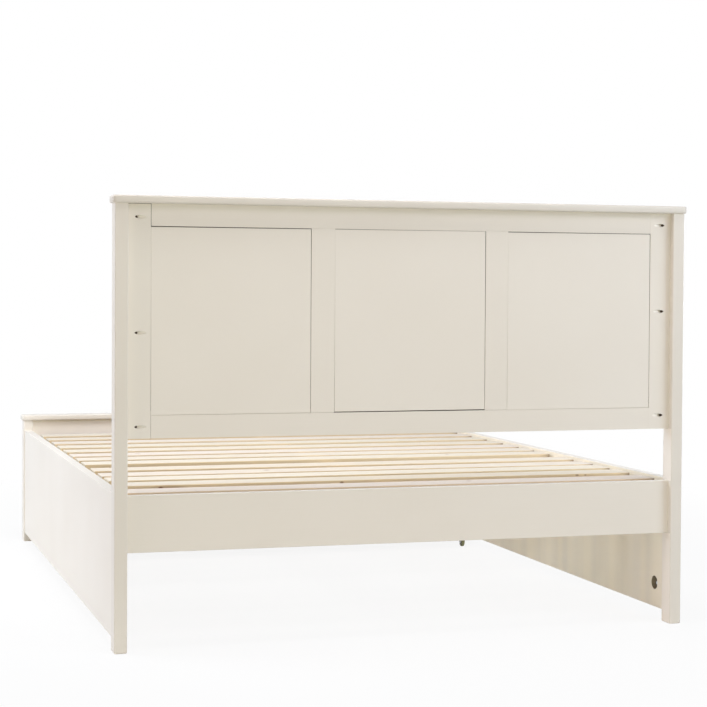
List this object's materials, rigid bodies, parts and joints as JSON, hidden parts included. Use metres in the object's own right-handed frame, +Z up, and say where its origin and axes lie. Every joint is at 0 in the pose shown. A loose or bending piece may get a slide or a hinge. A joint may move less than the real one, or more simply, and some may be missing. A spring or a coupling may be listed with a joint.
{
  "type": "storage bed",
  "caption": "Painted wooden bed frame with a panelled headboard, a slatted base and a full-width drawer on castors that pulls out at the foot end.",
  "frame": {"origin": "on the floor, under the middle of the bed", "axes": "+Y from the foot end to the headboard, +X to the right as seen from the foot, +Z up"},
  "size_m": [1.604, 2.114, 1.164],
  "materials": {
    "paint": "satin ivory lacquer",
    "pine": "planed, unfinished",
    "ply": "sanded plywood",
    "zinc": "zinc plated",
    "nylon": "moulded"
  },
  "bodies": {
    "frame": {"headboard_cap": "paint", "footboard_cap": "paint", "head_rail": "paint", "foot_rail": "paint", "headboard_top_rail": "paint", "headboard_bottom_rail": "paint", "headboard_panel_left": "paint", "headboard_panel_centre": "paint", "headboard_panel_right": "paint", "headboard_stile_left": "paint", "headboard_stile_right": "paint", "headboard_mullion_left": "paint", "headboard_mullion_right": "paint", "head_post_left": "paint", "head_post_right": "paint", "foot_post_left": "paint", "foot_post_right": "paint", "side_panel_left": "paint", "side_panel_right": "paint", "slat_ledge_left": "pine", "slat_ledge_right": "pine", "centre_beam": "pine", "beam_bracket_head": "zinc", "beam_bracket_foot": "zinc", "slat_01": "pine", "slat_02": "pine", "slat_03": "pine", "slat_04": "pine", "slat_05": "pine", "slat_06": "pine", "slat_07": "pine", "slat_08": "pine", "slat_09": "pine", "slat_10": "pine", "slat_11": "pine", "slat_12": "pine", "slat_13": "pine", "side_bolt_head_left_lower": "zinc", "side_bolt_head_left_upper": "zinc", "side_bolt_head_right_lower": "zinc", "side_bolt_head_right_upper": "zinc", "side_bolt_foot_left_lower": "zinc", "side_bolt_foot_left_upper": "zinc", "side_bolt_foot_right_lower": "zinc", "side_bolt_foot_right_upper": "zinc"},
    "drawer": {"drawer_front": "paint", "drawer_back": "ply", "drawer_side_left": "ply", "drawer_side_right": "ply", "drawer_bottom": "ply", "drawer_knob_left": "paint", "drawer_knob_right": "paint", "castor_fork_back_left": "zinc", "castor_fork_back_right": "zinc", "castor_fork_front_left": "zinc", "castor_fork_front_right": "zinc"},
    "wheel_back_left": {"castor_wheel_back_left": "nylon"},
    "wheel_back_right": {"castor_wheel_back_right": "nylon"},
    "wheel_front_left": {"castor_wheel_front_left": "nylon"},
    "wheel_front_right": {"castor_wheel_front_right": "nylon"}
  },
  "joints": [
    {"name": "drawer_slide", "type": "slide", "parent": "frame", "child": "drawer", "axis": [0, -1, 0], "range_m": [0, 0.53]},
    {"name": "castor_spin_back_left", "type": "hinge", "parent": "drawer", "child": "wheel_back_left", "pos_m": [-0.716, -0.484, 0.018], "axis": [1, 0, 0], "continuous": true},
    {"name": "castor_spin_back_right", "type": "hinge", "parent": "drawer", "child": "wheel_back_right", "pos_m": [0.716, -0.484, 0.018], "axis": [1, 0, 0], "continuous": true},
    {"name": "castor_spin_front_left", "type": "hinge", "parent": "drawer", "child": "wheel_front_left", "pos_m": [-0.716, -0.982, 0.018], "axis": [1, 0, 0], "continuous": true},
    {"name": "castor_spin_front_right", "type": "hinge", "parent": "drawer", "child": "wheel_front_right", "pos_m": [0.716, -0.982, 0.018], "axis": [1, 0, 0], "continuous": true}
  ],
  "couplings": [
    {"joint": "castor_spin_back_left", "follows": "drawer_slide", "rad_per_m": 55.556},
    {"joint": "castor_spin_back_right", "follows": "drawer_slide", "rad_per_m": 55.556},
    {"joint": "castor_spin_front_left", "follows": "drawer_slide", "rad_per_m": 55.556},
    {"joint": "castor_spin_front_right", "follows": "drawer_slide", "rad_per_m": 55.556}
  ]
}
